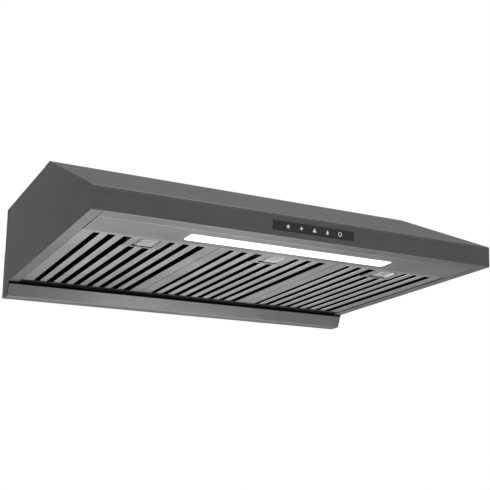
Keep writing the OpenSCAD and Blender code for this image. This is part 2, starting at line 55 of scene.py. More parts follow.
# Sizes that the boxes of the CAD nodes don't give, in metres
SHEET = 1.2 * MM
FILTER_SHEET = 1.0 * MM
FASCIA_H = 42.3 * MM
FASCIA_LEAN = 7.4 * MM
FRONT_FLANGE = 27 * MM
TOP_LAP = 26 * MM
SIDE_STRIP = 24 * MM
PANEL_LIP = 10 * MM
LENS_LEDGE_X = 4 * MM
LENS_LEDGE_Y = 3 * MM
LENS_GAP = 0.4 * MM
TOUCH_H = 17.6 * MM
TOUCH_GAP = 0.3 * MM
SLOT_COUNT = 8
SLOT_PITCH = 31.1 * MM
SLOT_W = 14.6 * MM
REAR_CHANNEL_W = 26 * MM
CHANNEL_FOLD = 1.2 * MM
LATCH_PLATE_D = 66.5 * MM
LATCH_W = 38 * MM
LATCH_RIM_W = 36 * MM
LATCH_RIM_D = 37 * MM
LATCH_RIM_START = 13.5 * MM
LATCH_RIM_WALL = 1.8 * MM
TRAY_LEAN = 14.5 * MM
TRAY_LIP = 6 * MM
DUCT_R = 75 * MM
COLLAR_SCREW_R = 85 * MM
SHAFT_R = 5 * MM
FILTERS = (1, 2, 3)

# How far a cutter runs past the sheet that it cuts
CUT_PAST = 10 * MM

SMOOTH_BELOW = math.radians(34)
ROUND_ABOVE = math.radians(38)
KEPT_ROUND_ABOVE = math.radians(40)

# Camera, in the row frame
CAMERA_PLACE = (-0.8889, -1.5806, -0.6375)
CAMERA_YAW = 25.571
CAMERA_PITCH = 20.873
CAMERA_ROLL = -0.584
CAMERA_LENS = 58.355
CAMERA_SHIFT = (0.1741, -0.1008)

FLOOR_DROP = 2.1
FLOOR_R = 9

# Softboxes: place, target, size and power
LIGHTS = {
    "top_softbox": ((0, -1.5, 5), (0, -1.5, 0), (7, 7), 90),
    "under_softbox": ((0, 0.8, -1.9), (0, 0, -0.1), (3.0, 2.2), 33),
    "low_front_softbox": ((0.55, -1.13, -1.29), (-0.15, 0.12, -0.2), (0.45, 0.45), 0.9),
    "fold_softbox": ((1.2, -0.75, -1.7), (0.3, -0.4, -0.18), (0.6, 0.6), 3),
}


# ---------------------------------------------------------------- mesh helpers


def left_of(a, b):
    """Unit normal to the left of the line from a to b."""
    d = (b - a).normalized()
    return Vector((-d.y, d.x))


def offset_path(path, t):
    """The path moved sideways by t, to its left, with mitred corners."""
    last = len(path) - 1
    moved = []
    for i, p in enumerate(path):
        m = left_of(path[max(i - 1, 0)], path[max(i, 1)])
        n = left_of(path[min(i, last - 1)], path[min(i + 1, last)])
        moved.append(p + (m + n) * (t / (1 + m.dot(n))))
    return moved


def rounded(points, radius, steps=6):
    """The path with each inner corner turned into an arc."""
    points = [Vector(p) for p in points]
    path = [points[0]]
    for a, b, c in zip(points, points[1:], points[2:]):
        u, v = (a - b).normalized(), (c - b).normalized()
        half = u.angle(v) / 2
        centre = b + (u + v).normalized() * radius / math.sin(half)
        start = b + u * (radius / math.tan(half)) - centre
        end = b + v * (radius / math.tan(half)) - centre
        begin = math.atan2(start.y, start.x)
        turn = math.remainder(math.atan2(end.y, end.x) - begin, math.tau)
        for k in range(steps + 1):
            angle = begin + turn * k / steps
            path.append(centre + radius * Vector((math.cos(angle), math.sin(angle))))
    path.append(points[-1])
    return path


def along_x(p, w):
    return (w, p.x, p.y)


def along_y(p, w):
    return (p.x, w, p.y)


def new_piece(name, bm):
    """Links the bmesh as an object and frees it."""
    bmesh.ops.recalc_face_normals(bm, faces=bm.faces)
    mesh = bpy.data.meshes.new(name)
    bm.to_mesh(mesh)
    bm.free()
    piece = bpy.data.objects.new(name, mesh)
    bpy.context.collection.objects.link(piece)
    return piece


def mark_sharp(mesh):
    """Smooth faces, with sharp edges where they meet at more than a shallow angle."""
    bm = bmesh.new()
    bm.from_mesh(mesh)
    for e in bm.edges:
        e.smooth = len(e.link_faces) == 2 and e.calc_face_angle(0) < SMOOTH_BELOW
    for f in bm.faces:
        f.smooth = True
    bm.to_mesh(mesh)
    bm.free()


def round_edges(piece, width, angle):
    """Small rounds on the edges sharper than the angle."""
    bevel = piece.modifiers.new("edge_round", "BEVEL")
    bevel.width = width
    bevel.segments = 2
    bevel.limit_method = "ANGLE"
    bevel.angle_limit = angle


def finish_edges(piece, width):
    """Small rounds on the cut edges, and flat faces that shade flat."""
    mark_sharp(piece.data)
    round_edges(piece, width, ROUND_ABOVE)
    normals = piece.modifiers.new("flat_shading", "WEIGHTED_NORMAL")
    normals.keep_sharp = True


def folded_sheet(bm, path, t, a, b, place):
    """Adds a folded sheet: the path, thickened to its left by t, swept from a to b."""
    inner = offset_path(path, t)
    rings = []
    for w in (a, b):
        rings.append([bm.verts.new(place(p, w)) for p in path])
        rings.append([bm.verts.new(place(p, w)) for p in inner])
    outer_a, inner_a, outer_b, inner_b = rings
    for i in range(len(path) - 1):
        j = i + 1
        bm.faces.new((outer_a[i], outer_a[j], outer_b[j], outer_b[i]))
        bm.faces.new((inner_a[i], inner_b[i], inner_b[j], inner_a[j]))
        bm.faces.new((outer_a[i], inner_a[i], inner_a[j], outer_a[j]))
        bm.faces.new((outer_b[i], outer_b[j], inner_b[j], inner_b[i]))
    for i in (0, -1):
        bm.faces.new((outer_a[i], outer_b[i], inner_b[i], inner_a[i]))


def block_at(bm, matrix, size):
    """Adds a box of a size, centred on the matrix's origin."""
    bmesh.ops.create_cube(bm, size=1, matrix=matrix @ Matrix.Diagonal((*size, 1)))


def block(bm, low, high):
    """Adds a box between two corners."""
    centre = (Vector(low) + Vector(high)) / 2
    block_at(bm, Matrix.Translation(centre), Vector(high) - Vector(low))


def rounded_outline(w, d, radius, steps=8):
    """Corner points of a rectangle with round corners, centred on the origin."""
    points = []
    for quarter, (sx, sy) in enumerate(((1, 1), (-1, 1), (-1, -1), (1, -1))):
        for k in range(steps + 1):
            angle = math.radians(90 * (quarter + k / steps))
            x = sx * (w / 2 - radius) + radius * math.cos(angle)
            y = sy * (d / 2 - radius) + radius * math.sin(angle)
            points.append(Vector((x, y)))
    return points


def bridge(bm, lower, upper):
    """Adds the faces between two rings of vertices."""
    count = len(lower)
    for i in range(count):
        j = (i + 1) % count
        bm.faces.new((lower[i], lower[j], upper[j], upper[i]))


def skin_rings(bm, rings, ends=True):
    """Joins rings of equal length into a tube, with a face on each end or open."""
    made = [[bm.verts.new(p) for p in ring] for ring in rings]
    for lower, upper in zip(made, made[1:]):
        bridge(bm, lower, upper)
    if ends:
        bm.faces.new(made[0])
        bm.faces.new(made[-1])
    return made


def plate_rings(outline, levels, matrix):
    """Rings of an outline at (height, inset) levels, placed by a matrix."""
    rings = []
    for height, inset in levels:
        ring = []
        for p in outline:
            q = p - p.normalized() * inset
            ring.append(matrix @ Vector((q.x, q.y, height)))
        rings.append(ring)
    return rings


def revolve(bm, profile, matrix, steps=64, loop=True):
    """Turns (radius, height) points round the matrix's Z axis: a ring with a bore, or closed at the ends."""
    turn = [math.tau * k / steps for k in range(steps)]
    rings = []
    for radius, height in profile:
        points = [Vector((radius * math.cos(a), radius * math.sin(a), height)) for a in turn]
        rings.append([matrix @ p for p in points])
    made = skin_rings(bm, rings, ends=not loop)
    if loop:
        bridge(bm, made[-1], made[0])


def across(x, y, z, side=1):
    """Matrix whose Z axis points along X, or along -X where side is -1."""
    turn = Matrix.Rotation(math.radians(90 * side), 4, "Y")
    return Matrix.Translation((x, y, z)) @ turn


def upright(centre, z):
    """Matrix that puts the origin over a centre, at a height."""
    return Matrix.Translation((centre.x, centre.y, z))


def cut(piece, cutter):
    """Takes the cutter's solid out of the piece for good."""
    boolean = piece.modifiers.new("cut", "BOOLEAN")
    boolean.operation = "DIFFERENCE"
    boolean.solver = "EXACT"
    boolean.object = cutter
    evaluated = piece.evaluated_get(bpy.context.evaluated_depsgraph_get())
    mesh = bpy.data.meshes.new_from_object(evaluated)
    piece.modifiers.clear()
    piece.data = mesh
    bpy.data.objects.remove(cutter)


def cut_box(piece, low, high):
    bm = bmesh.new()
    block(bm, low, high)
    cut(piece, new_piece("cutter", bm))


def cut_outline(piece, outline, below, above, matrix):
    """Cuts an outline's prism, between two heights, out of the piece."""
    bm = bmesh.new()
    skin_rings(bm, plate_rings(outline, [(below, 0), (above, 0)], matrix))
    cut(piece, new_piece("cutter", bm))


def add_copy(bm, mesh, matrix):
    """Adds a copy of the mesh, placed by a matrix."""
    start = len(bm.verts)
    bm.from_mesh(mesh)
    bm.verts.ensure_lookup_table()
    bmesh.ops.transform(bm, matrix=matrix, verts=bm.verts[start:])


# ------------------------------------------------------------------- materials


def node_material(name):
    material = bpy.data.materials.new(name)
    material.use_nodes = True
    nodes = material.node_tree.nodes
    return material, nodes, material.node_tree.links, nodes["Principled BSDF"]


def noise(nodes, links, scale, stretch, detail=4.0, rough=0.55):
    """Noise in the row frame, stretched by a factor on each axis."""
    place = nodes.new("ShaderNodeTexCoord")
    mapping = nodes.new("ShaderNodeMapping")
    mapping.inputs["Scale"].default_value = stretch
    texture = nodes.new("ShaderNodeTexNoise")
    texture.inputs["Scale"].default_value = scale
    texture.inputs["Detail"].default_value = detail
    texture.inputs["Roughness"].default_value = rough
    links.new(place.outputs["Object"], mapping.inputs["Vector"])
    links.new(mapping.outputs["Vector"], texture.inputs["Vector"])
    return texture.outputs["Fac"]


def ramp(nodes, links, source, low, high, start=0.3, end=0.7):
    """Maps the source from start..end to values low..high."""
    mapped = nodes.new("ShaderNodeMapRange")
    mapped.inputs["From Min"].default_value = start
    mapped.inputs["From Max"].default_value = end
    mapped.inputs["To Min"].default_value = low
    mapped.inputs["To Max"].default_value = high
    links.new(source, mapped.inputs["Value"])
    return mapped.outputs["Result"]


def multiply(nodes, links, a, b):
    product = nodes.new("ShaderNodeMath")
    product.operation = "MULTIPLY"
    links.new(a, product.inputs[0])
    links.new(b, product.inputs[1])
    return product.outputs["Value"]


def tint(nodes, links, colour, factor):
    """The colour, made lighter or darker by a factor."""
    scale = nodes.new("ShaderNodeVectorMath")
    scale.operation = "SCALE"
    scale.inputs[0].default_value = colour
    links.new(factor, scale.inputs["Scale"])
    return scale.outputs["Vector"]


def bump(nodes, links, shader, height, strength, distance):
    node = nodes.new("ShaderNodeBump")
    node.inputs["Strength"].default_value = strength
    node.inputs["Distance"].default_value = distance
    links.new(height, node.inputs["Height"])
    links.new(node.outputs["Normal"], shader.inputs["Normal"])


def tone_step(nodes, links, axis, start, width, factor):
    """1 before start on an axis of the row frame, then over a width to the factor."""
    place = nodes.new("ShaderNodeTexCoord")
    axes = nodes.new("ShaderNodeSeparateXYZ")
    links.new(place.outputs["Object"], axes.inputs["Vector"])
    return ramp(nodes, links, axes.outputs[axis], 1.0, factor, start, start + width)


EVEN = (1, 1, 1)
GRAIN = {"x": (1, 240, 240), "y": (240, 1, 240)}
BROAD_GRAIN = {"x": (1, 18, 18), "y": (18, 1, 18)}


def brushed_steel(name, colour, grain, roughness, contrast, smudge, steps=()):
    """Brushed sheet: long fine streaks, with soft patches where it has been wiped."""
    material, nodes, links, shader = node_material(name)
    fine = noise(nodes, links, 7.0, GRAIN[grain], 5, 0.7)
    broad = noise(nodes, links, 2.2, BROAD_GRAIN[grain], 3)
    patches = noise(nodes, links, 6.0, EVEN, 5, 0.6)
    streaks = ramp(nodes, links, fine, 1 - contrast, 1 + contrast)
    bands = ramp(nodes, links, broad, 1 - contrast * 0.4, 1 + contrast * 0.4)
    wiped = ramp(nodes, links, patches, 1 - smudge * 0.5, 1 + smudge * 0.5)
    factor = multiply(nodes, links, multiply(nodes, links, streaks, bands), wiped)
    # Tone steps: painted shade and painted highlights, multiplied into the colour
    for step in steps:
        factor = multiply(nodes, links, factor, tone_step(nodes, links, *step))
    links.new(tint(nodes, links, colour, factor), shader.inputs["Base Color"])
    rough_streak = ramp(nodes, links, fine, roughness - 0.05, roughness + 0.05)
    rough_patch = ramp(nodes, links, patches, 1 - smudge, 1 + smudge * 1.5)
    links.new(multiply(nodes, links, rough_streak, rough_patch), shader.inputs["Roughness"])
    bump(nodes, links, shader, fine, 0.12, 0.08 * MM)
    shader.inputs["Metallic"].default_value = 1.0
    return material


def coated(name, colour, roughness, metallic=0.0):
    """Painted or moulded surface with a fine even grain."""
    material, nodes, links, shader = node_material(name)
    grain = noise(nodes, links, 900, EVEN, 3)
    patches = noise(nodes, links, 14, EVEN, 4)
    factor = ramp(nodes, links, patches, 0.94, 1.06)
    links.new(tint(nodes, links, colour, factor), shader.inputs["Base Color"])
    links.new(ramp(nodes, links, patches, roughness * 0.88, roughness * 1.12), shader.inputs["Roughness"])
    bump(nodes, links, shader, grain, 0.35, 0.06 * MM)
    shader.inputs["Metallic"].default_value = metallic
    return material


def spangled_zinc(name, colour):
    """Galvanised sheet with its crystal patches."""
    material, nodes, links, shader = node_material(name)
    place = nodes.new("ShaderNodeTexCoord")
    crystals = nodes.new("ShaderNodeTexVoronoi")
    crystals.inputs["Scale"].default_value = 130
    links.new(place.outputs["Object"], crystals.inputs["Vector"])
    shade = nodes.new("ShaderNodeSeparateColor")
    links.new(crystals.outputs["Color"], shade.inputs["Color"])
    factor = ramp(nodes, links, shade.outputs["Red"], 0.86, 1.12, 0, 1)
    links.new(tint(nodes, links, colour, factor), shader.inputs["Base Color"])
    links.new(ramp(nodes, links, shade.outputs["Green"], 0.34, 0.5, 0, 1), shader.inputs["Roughness"])
    bump(nodes, links, shader, noise(nodes, links, 500, EVEN), 0.2, 0.05 * MM)
    shader.inputs["Metallic"].default_value = 1.0
    return material


def lit_diffuser(name, strength):
    """Opal plastic lit from behind, with a faint cloud in it."""
    material, nodes, links, shader = node_material(name)
    cloud = noise(nodes, links, 40, EVEN, 2)
    colour = tint(nodes, links, (0.97, 0.98, 1.0), ramp(nodes, links, cloud, 0.97, 1.0))
    links.new(colour, shader.inputs["Base Color"])
    links.new(colour, shader.inputs["Emission Color"])
    links.new(ramp(nodes, links, cloud, 0.3, 0.42), shader.inputs["Roughness"])
    shader.inputs["Emission Strength"].default_value = strength
    bump(nodes, links, shader, noise(nodes, links, 1500, EVEN), 0.15, 0.03 * MM)
    return material


def black_glass(name):
    """Printed glass with faint wiping marks."""
    material, nodes, links, shader = node_material(name)
    marks = noise(nodes, links, 25, (1, 3, 3), 6, 0.65)
    colour = tint(nodes, links, (0.03, 0.03, 0.033), ramp(nodes, links, marks, 0.85, 1.2))
    links.new(colour, shader.inputs["Base Color"])
    links.new(ramp(nodes, links, marks, 0.06, 0.16), shader.inputs["Roughness"])
    shader.inputs["Coat Weight"].default_value = 0.5
    shader.inputs["Coat Roughness"].default_value = 0.05
    return material


def lit_print(name, colour, strength):
    """Symbols printed white and lit from behind."""
    material, nodes, links, shader = node_material(name)
    grain = noise(nodes, links, 700, EVEN, 2)
    shade = tint(nodes, links, colour, ramp(nodes, links, grain, 0.9, 1.0))
    links.new(shade, shader.inputs["Base Color"])
    links.new(shade, shader.inputs["Emission Color"])
    links.new(ramp(nodes, links, grain, 0.35, 0.5), shader.inputs["Roughness"])
    shader.inputs["Emission Strength"].default_value = strength
    return material


def tone_steps():
    """Where the photo's tone changes along the part: axis, start, width of the change, factor past it."""
    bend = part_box("front_panel")[0].z + FASCIA_H
    left_low, left_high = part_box("left_side_panel")
    panel_low, panel_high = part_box("light_panel")
    channel_low, channel_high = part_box(filter_name(1, "front_baffles"))
    frame_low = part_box(filter_name(1, "frame"))[0]
    rear_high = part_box(filter_name(1, "rear_baffles"))[1]
    # Each step below is painted light: shade or a highlight put into the steel's colour
    return {
        # Painted highlight: the front panel 1.25 times lighter from just below the fascia-to-slope bend
        "bend": ("Z", bend - 6.3 * MM, 5 * MM, 1.25),
        # Painted shade: the slope above the bend darker again, to 0.85 of the fascia
        "slope": ("Z", bend + 1.7 * MM, 7 * MM, 0.68),
        # Painted shade: the back panel dark on its side flange, 2.2 times lighter past it
        "past_flange": ("X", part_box("back_panel")[0].x + 1.3 * MM, 0.2 * MM, 2.2),
        # Painted shade and light: the left side panel's face dark, its underside strip 1.4 times lighter
        "left_strip": ("X", left_low.x + 1.4 * MM, 0.4 * MM, 1.4),
        # Painted shade: a dark line on the strip's inner edge, at its seam with the filters
        "left_strip_edge": ("X", left_high.x - 1.3 * MM, 0.3 * MM, 0.15),
        # Painted shade: the right side panel's face 0.72 as light as its underside strip
        "right_side": ("X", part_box("right_side_panel")[1].x - 1.8 * MM, 0.4 * MM, 0.72),
        # Painted shade: the light panel near black above its bottom face, inside the gap
        "panel_inside": ("Z", panel_low.z + 0.7 * MM, 0.6 * MM, 0.1),
        # Painted shade: a dark line along the light panel's rear edge, at its seam with the filters
        "panel_rear_edge": ("Y", panel_high.y - 1.4 * MM, 0.4 * MM, 0.4),
        # Painted shade: the filter frames darker above their bottom face, inside the gaps
        "frame_inside": ("Z", frame_low.z + 0.7 * MM, 0.6 * MM, 0.22),
        # Painted shadow: the frames' rear ends near black, next to the oil tray
        "rear_end_shadow": ("Y", channel_high.y - 13.9 * MM, 3 * MM, 0.1),
        # Painted shade: the front channels near black above their bottom face, so the slots show dark
        "channel_inside": ("Z", channel_low.z + 0.2 * MM, 0.4 * MM, 0.03),
        # Painted shade: the rear channels near black below their top faces, which are 30 times lighter
        "channel_back": ("Z", rear_high.z - 0.5 * MM, 0.3 * MM, 30),
    }


# Linear colours
BLACK = (0.232, 0.23, 0.228)
BRIGHT = (0.54, 0.535, 0.527)
FRAME = (0.45, 0.446, 0.44)
# SIDE: painted shade, the left side panel's face darker than its underside strip
SIDE = (0.175, 0.174, 0.172)
SHADED_FLANGE = (0.105, 0.104, 0.103)
PANEL = (0.3, 0.298, 0.295)

# Steels: name, colour, grain axis, roughness, contrast, smudge, then any tone steps of painted shade and
# painted highlight
STEELS = {
    "black_x": ("black_steel_across", BLACK, "x", 0.36, 0.1, 0.16),
    # Front panel steel, with a painted highlight at the bend and painted shade on the slope
    "front": ("front_panel_steel", BLACK, "x", 0.36, 0.1, 0.16, "bend", "slope"),
    "back": ("back_panel_steel", SHADED_FLANGE, "x", 0.36, 0.1, 0.16, "past_flange"),
    # Left and right side panels: one steel, with painted shade on their faces
    "black_left": ("black_steel_left", SIDE, "y", 0.36, 0.08, 0.16, "left_strip", "left_strip_edge"),
    "black_right": ("black_steel_right", BLACK, "y", 0.36, 0.08, 0.16, "right_side"),
    "tray": ("tray_steel", (0.26, 0.258, 0.255), "x", 0.3, 0.1, 0.14),
    "panel": ("light_panel_steel", PANEL, "x", 0.32, 0.08, 0.12, "panel_inside", "panel_rear_edge"),
    "filter_x": ("filter_steel_across", FRAME, "x", 0.32, 0.1, 0.1, "frame_inside", "rear_end_shadow"),
    "filter_y": ("filter_steel_deep", BRIGHT, "y", 0.32, 0.12, 0.1, "channel_inside"),
    "filter_dark": ("shaded_filter_steel", (0.012, 0.012, 0.011), "y", 0.5, 0.1, 0.1, "channel_back"),
    "rail": ("shaded_rail_steel", (0.02, 0.02, 0.019), "x", 0.5, 0.06, 0.08),
    "tongue": ("tongue_steel", (0.45, 0.445, 0.43), "y", 0.3, 0.06, 0.08),
    "latch": ("latch_steel", (0.62, 0.615, 0.605), "x", 0.3, 0.08, 0.08),
    "shine": ("spring_steel", (0.7, 0.7, 0.69), "x", 0.2, 0.04, 0.08),
    "collar": ("collar_steel", (0.5, 0.5, 0.49), "x", 0.4, 0.07, 0.08),
}


def make_materials():
    steps = tone_steps()
    materials = {}
    for key, (name, colour, grain, roughness, contrast, smudge, *names) in STEELS.items():
        used = [steps[n] for n in names]
        materials[key] = brushed_steel(name, colour, grain, roughness, contrast, smudge, used)
    materials["wheel"] = coated("wheel_coat", (0.2, 0.205, 0.21), 0.45, 0.6)
    materials["motor"] = coated("motor_paint", (0.03, 0.03, 0.032), 0.5)
    materials["plastic"] = coated("black_plastic", (0.02, 0.02, 0.022), 0.48)
    materials["white_plastic"] = coated("white_plastic", (0.72, 0.72, 0.69), 0.4)
    materials["board"] = coated("circuit_board", (0.02, 0.11, 0.05), 0.38)
    materials["light_board"] = coated("light_board", (0.8, 0.8, 0.76), 0.45)
    materials["zinc"] = spangled_zinc("galvanised_steel", (0.5, 0.51, 0.52))
    materials["lens"] = lit_diffuser("lit_lens", 1.15)
    materials["glass"] = black_glass("black_glass")
    materials["print"] = lit_print("white_print", (0.75, 0.77, 0.78), 0.36)
    return materials


def dress(piece, material):
    piece.data.materials.clear()
    piece.data.materials.append(materials[material])


def place_piece(piece, body, material, replaced):
    """Gives a piece its material, its body and the CAD node that it stands for."""
    dress(piece, material)
    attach(piece, body)
    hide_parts(replaced)


def filter_name(i, part):
    return f"filter_{i}_{part}"


# ---------------------------------------------------------------------- casing


def front_panel_path():
    """Outline of the front panel from the side: flange, fascia, slope and top."""
    low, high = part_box("front_panel")
    foot = low.y + FASCIA_LEAN
    corners = [
        (foot + FRONT_FLANGE, low.z),
        (foot, low.z),
        (low.y, low.z + FASCIA_H),
        (high.y - TOP_LAP, high.z),
        (high.y, high.z),
    ]
    return rounded(corners, 2.4 * MM, 8)


def build_front_panel():
    low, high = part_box("front_panel")
    bm = bmesh.new()
    folded_sheet(bm, front_panel_path(), -SHEET, low.x, high.x, along_x)
    piece = new_piece("front_panel_sheet", bm)
    notch_y = low.y + FASCIA_LEAN + 2.6 * MM
    for side in (-1, 1):
        x0, x1 = sorted((side * (high.x - SIDE_STRIP), side * (high.x + CUT_PAST)))
        cut_box(piece, (x0, notch_y, low.z - CUT_PAST), (x1, notch_y + 100 * MM, low.z + SHEET))
    glass_low, glass_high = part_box("touch_glass")
    width = glass_high.x - glass_low.x + 2 * TOUCH_GAP
    outline = rounded_outline(width, TOUCH_H + 2 * TOUCH_GAP, 1.3 * MM)
    cut_outline(piece, outline, -CUT_PAST, CUT_PAST, fascia_matrix())
    finish_edges(piece, 0.22 * MM)
    place_piece(piece, "casing", "front", "front_panel")


def fascia_matrix():
    """Centre of the touch strip on the fascia: X across, Y up the fascia, Z out of it."""
    low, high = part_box("touch_glass")
    centre = (low + high) / 2
    front_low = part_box("front_panel")[0]
    lean = math.atan(FASCIA_LEAN / FASCIA_H)
    up = Vector((0, -math.sin(lean), math.cos(lean)))
    out = Vector((0, -math.cos(lean), -math.sin(lean)))
    foot = Vector((0, front_low.y + FASCIA_LEAN, front_low.z))
    height = (centre - foot).dot(up)
    matrix = Matrix((Vector((1, 0, 0)), up, out)).transposed().to_4x4()
    matrix.translation = foot + up * height
    return matrix


def build_light_panel():
    """Folded panel with a window for the light bar and slots for the latches' tongues."""
    low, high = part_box("light_panel")
    corners = [(low.y, low.z + PANEL_LIP), (low.y, low.z), (high.y, low.z), (high.y, high.z)]
    bm = bmesh.new()
    folded_sheet(bm, rounded(corners, 1.8 * MM), SHEET, low.x, high.x, along_x)
    piece = new_piece("light_panel_sheet", bm)
    lens_low, lens_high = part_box("led_lens")
    width = lens_high.x - lens_low.x - 2 * (LENS_LEDGE_X - LENS_GAP)
    depth = lens_high.y - lens_low.y - 2 * (LENS_LEDGE_Y - LENS_GAP)
    window = upright((lens_low + lens_high) / 2, low.z)
    cut_outline(piece, rounded_outline(width, depth, 5.4 * MM), -CUT_PAST, 6 * MM, window)
    room = Vector((3, 0, 1)) * MM
    for i in FILTERS:
        tongue_low, tongue_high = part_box(filter_name(i, "tongue"))
        foot = Vector((tongue_low.x, high.y - 4 * MM, tongue_low.z)) - room
        head = Vector((tongue_high.x, high.y + 4 * MM, tongue_high.z)) + room
        cut_box(piece, foot, head)
    finish_edges(piece, 0.22 * MM)
    place_piece(piece, "casing", "panel", "light_panel")


def build_lens():
    """Opal bar with a soft round edge, standing a little proud of its panel."""
    low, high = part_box("led_lens")
    width = high.x - low.x - 2 * LENS_LEDGE_X
    depth = high.y - low.y - 2 * LENS_LEDGE_Y
    levels = [(3.4 * MM, 0), (1 * MM, 0), (0.3 * MM, 0.25 * MM), (0, 1.1 * MM)]
    bm = bmesh.new()
    place = upright((low + high) / 2, low.z)
    skin_rings(bm, plate_rings(rounded_outline(width, depth, 5 * MM), levels, place))
    piece = new_piece("light_bar_lens", bm)
    finish_edges(piece, 0.1 * MM)
    place_piece(piece, "casing", "lens", "led_lens")


def build_touch_glass():
    low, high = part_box("touch_glass")
    outline = rounded_outline(high.x - low.x, TOUCH_H, 1.2 * MM)
    levels = [(-2.4 * MM, 0), (0.2 * MM, 0), (0.45 * MM, 0.2 * MM), (0.5 * MM, 0.5 * MM)]
    bm = bmesh.new()
    skin_rings(bm, plate_rings(outline, levels, fascia_matrix()))
    piece = new_piece("touch_strip_glass", bm)
    finish_edges(piece, 0.08 * MM)
    place_piece(piece, "casing", "glass", "touch_glass")


# --------------------------------------------------------------------- filters


def add_channel(bm, x, half, legs_z, web_z, start, end):
    """Adds a channel along Y with round folds. Its half width is negative where the legs point down."""
    corners = [(x - half, legs_z), (x - half, web_z), (x + half, web_z), (x + half, legs_z)]
    folded_sheet(bm, rounded(corners, CHANNEL_FOLD), FILTER_SHEET, start, end, along_y)


def build_front_baffles(i):
    """Channels between the slots, legs up. Those behind the latch plate are shorter."""
    low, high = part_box(filter_name(i, "front_baffles"))
    frame_low, frame_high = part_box(filter_name(i, "frame"))
    middle = (frame_low.x + frame_high.x) / 2
    half = (SLOT_PITCH - SLOT_W) / 2
    bm = bmesh.new()
    for k in range(1, SLOT_COUNT):
        place = k - SLOT_COUNT / 2
        start = frame_low.y + LATCH_PLATE_D - 2 * MM if abs(place) < 1.5 else low.y
        add_channel(bm, middle + place * SLOT_PITCH, half, high.z, low.z, start, high.y)
    piece = new_piece(filter_name(i, "front_channels"), bm)
    finish_edges(piece, 0.15 * MM)
    place_piece(piece, f"filter_{i}", "filter_y", filter_name(i, "front_baffles"))


def build_rear_baffles(i):
    """Channels over the slots, legs down. Those behind the latch plate are shorter."""
    low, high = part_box(filter_name(i, "rear_baffles"))
    middle = (low.x + high.x) / 2
    bm = bmesh.new()
    for k in range(SLOT_COUNT):
        place = k - (SLOT_COUNT - 1) / 2
        start = low.y + LATCH_PLATE_D if abs(place) < 1 else low.y
        add_channel(bm, middle + place * SLOT_PITCH, -REAR_CHANNEL_W / 2, low.z, high.z, start, high.y)
    piece = new_piece(filter_name(i, "rear_channels"), bm)
    finish_edges(piece, 0.15 * MM)
    place_piece(piece, f"filter_{i}", "filter_dark", filter_name(i, "rear_baffles"))


def helix(name, start, direction, length, radius, turns, wire):
    """Coil spring as a round wire."""
    curve = bpy.data.curves.new(name, "CURVE")
    curve.dimensions = "3D"
    curve.bevel_depth = wire
    curve.bevel_resolution = 3
    curve.use_fill_caps = True
    spline = curve.splines.new("POLY")
    count = turns * 16
    spline.points.add(count)
    turn = direction.to_track_quat("Z", "Y")
    for k in range(count + 1):
        angle = math.tau * turns * k / count
        local = Vector((radius * math.cos(angle), radius * math.sin(angle), length * k / count))
        spline.points[k].co = (*(start + turn @ local), 1)
    path = bpy.data.objects.new(name, curve)
    bpy.context.collection.objects.link(path)
    mesh = bpy.data.meshes.new_from_object(path.evaluated_get(bpy.context.evaluated_depsgraph_get()))
    bpy.data.objects.remove(path)
    piece = bpy.data.objects.new(name, mesh)
    bpy.context.collection.objects.link(piece)
    for face in mesh.polygons:
        face.use_smooth = True
    return piece


def build_spring(i):
    """Spring between the frame's front wall and the latch's peg."""
    low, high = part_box(filter_name(i, "spring"))
    start = Vector(((low.x + high.x) / 2, low.y, (low.z + high.z) / 2))
    length = high.y - low.y
    back = Vector((0, 1, 0))
    piece = helix(filter_name(i, "coil_spring"), start, back, length, 1.15 * MM, 15, 0.32 * MM)
    dress(piece, "shine")
    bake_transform(piece)
    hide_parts(filter_name(i, "spring"))


def finger_rim(place, up):
    """Rings of the latch's finger rim, which hangs below the plate: down its outside, up a slanted inside."""
    outer = rounded_outline(LATCH_RIM_W, LATCH_RIM_D, 5 * MM)
    inner = rounded_outline(LATCH_RIM_W - 2 * LATCH_RIM_WALL, LATCH_RIM_D - 2 * LATCH_RIM_WALL, 3.4 * MM)
    outside = [(up + 0.5 * MM, 0), (0.7 * MM, 0), (0, 0.7 * MM)]
    inside = [(0, -0.3 * MM), (0.7 * MM, 0.4 * MM), (up + 0.1 * MM, 1.4 * MM)]
    return plate_rings(outer, outside, place) + plate_rings(inner, inside, place)


def build_latch(i):
    """Sliding plate with a finger rim on its underside, and the peg that holds the spring."""
    low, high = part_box(filter_name(i, "latch"))
    frame_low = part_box(filter_name(i, "frame"))[0]
    plate_z = frame_low.z + FILTER_SHEET + 0.2 * MM
    centre = Vector((high.x - LATCH_W / 2, (low.y + high.y) / 2, 0))
    outline = rounded_outline(LATCH_W, high.y - low.y, 2 * MM)
    bm = bmesh.new()
    skin_rings(bm, plate_rings(outline, [(0, 0), (1.2 * MM, 0)], upright(centre, plate_z)))
    rim_y = low.y + LATCH_RIM_START + LATCH_RIM_D / 2
    rim_place = Matrix.Translation((centre.x, rim_y, low.z))
    skin_rings(bm, finger_rim(rim_place, plate_z - low.z))
    block(bm, (low.x, high.y - 5 * MM, plate_z), (low.x + 5 * MM, high.y - 3 * MM, high.z))
    piece = new_piece(filter_name(i, "latch_slide"), bm)
    finish_edges(piece, 0.18 * MM)
    place_piece(piece, f"latch_{i}", "latch", filter_name(i, "latch"))


# -------------------------------------------------------------------- oil tray


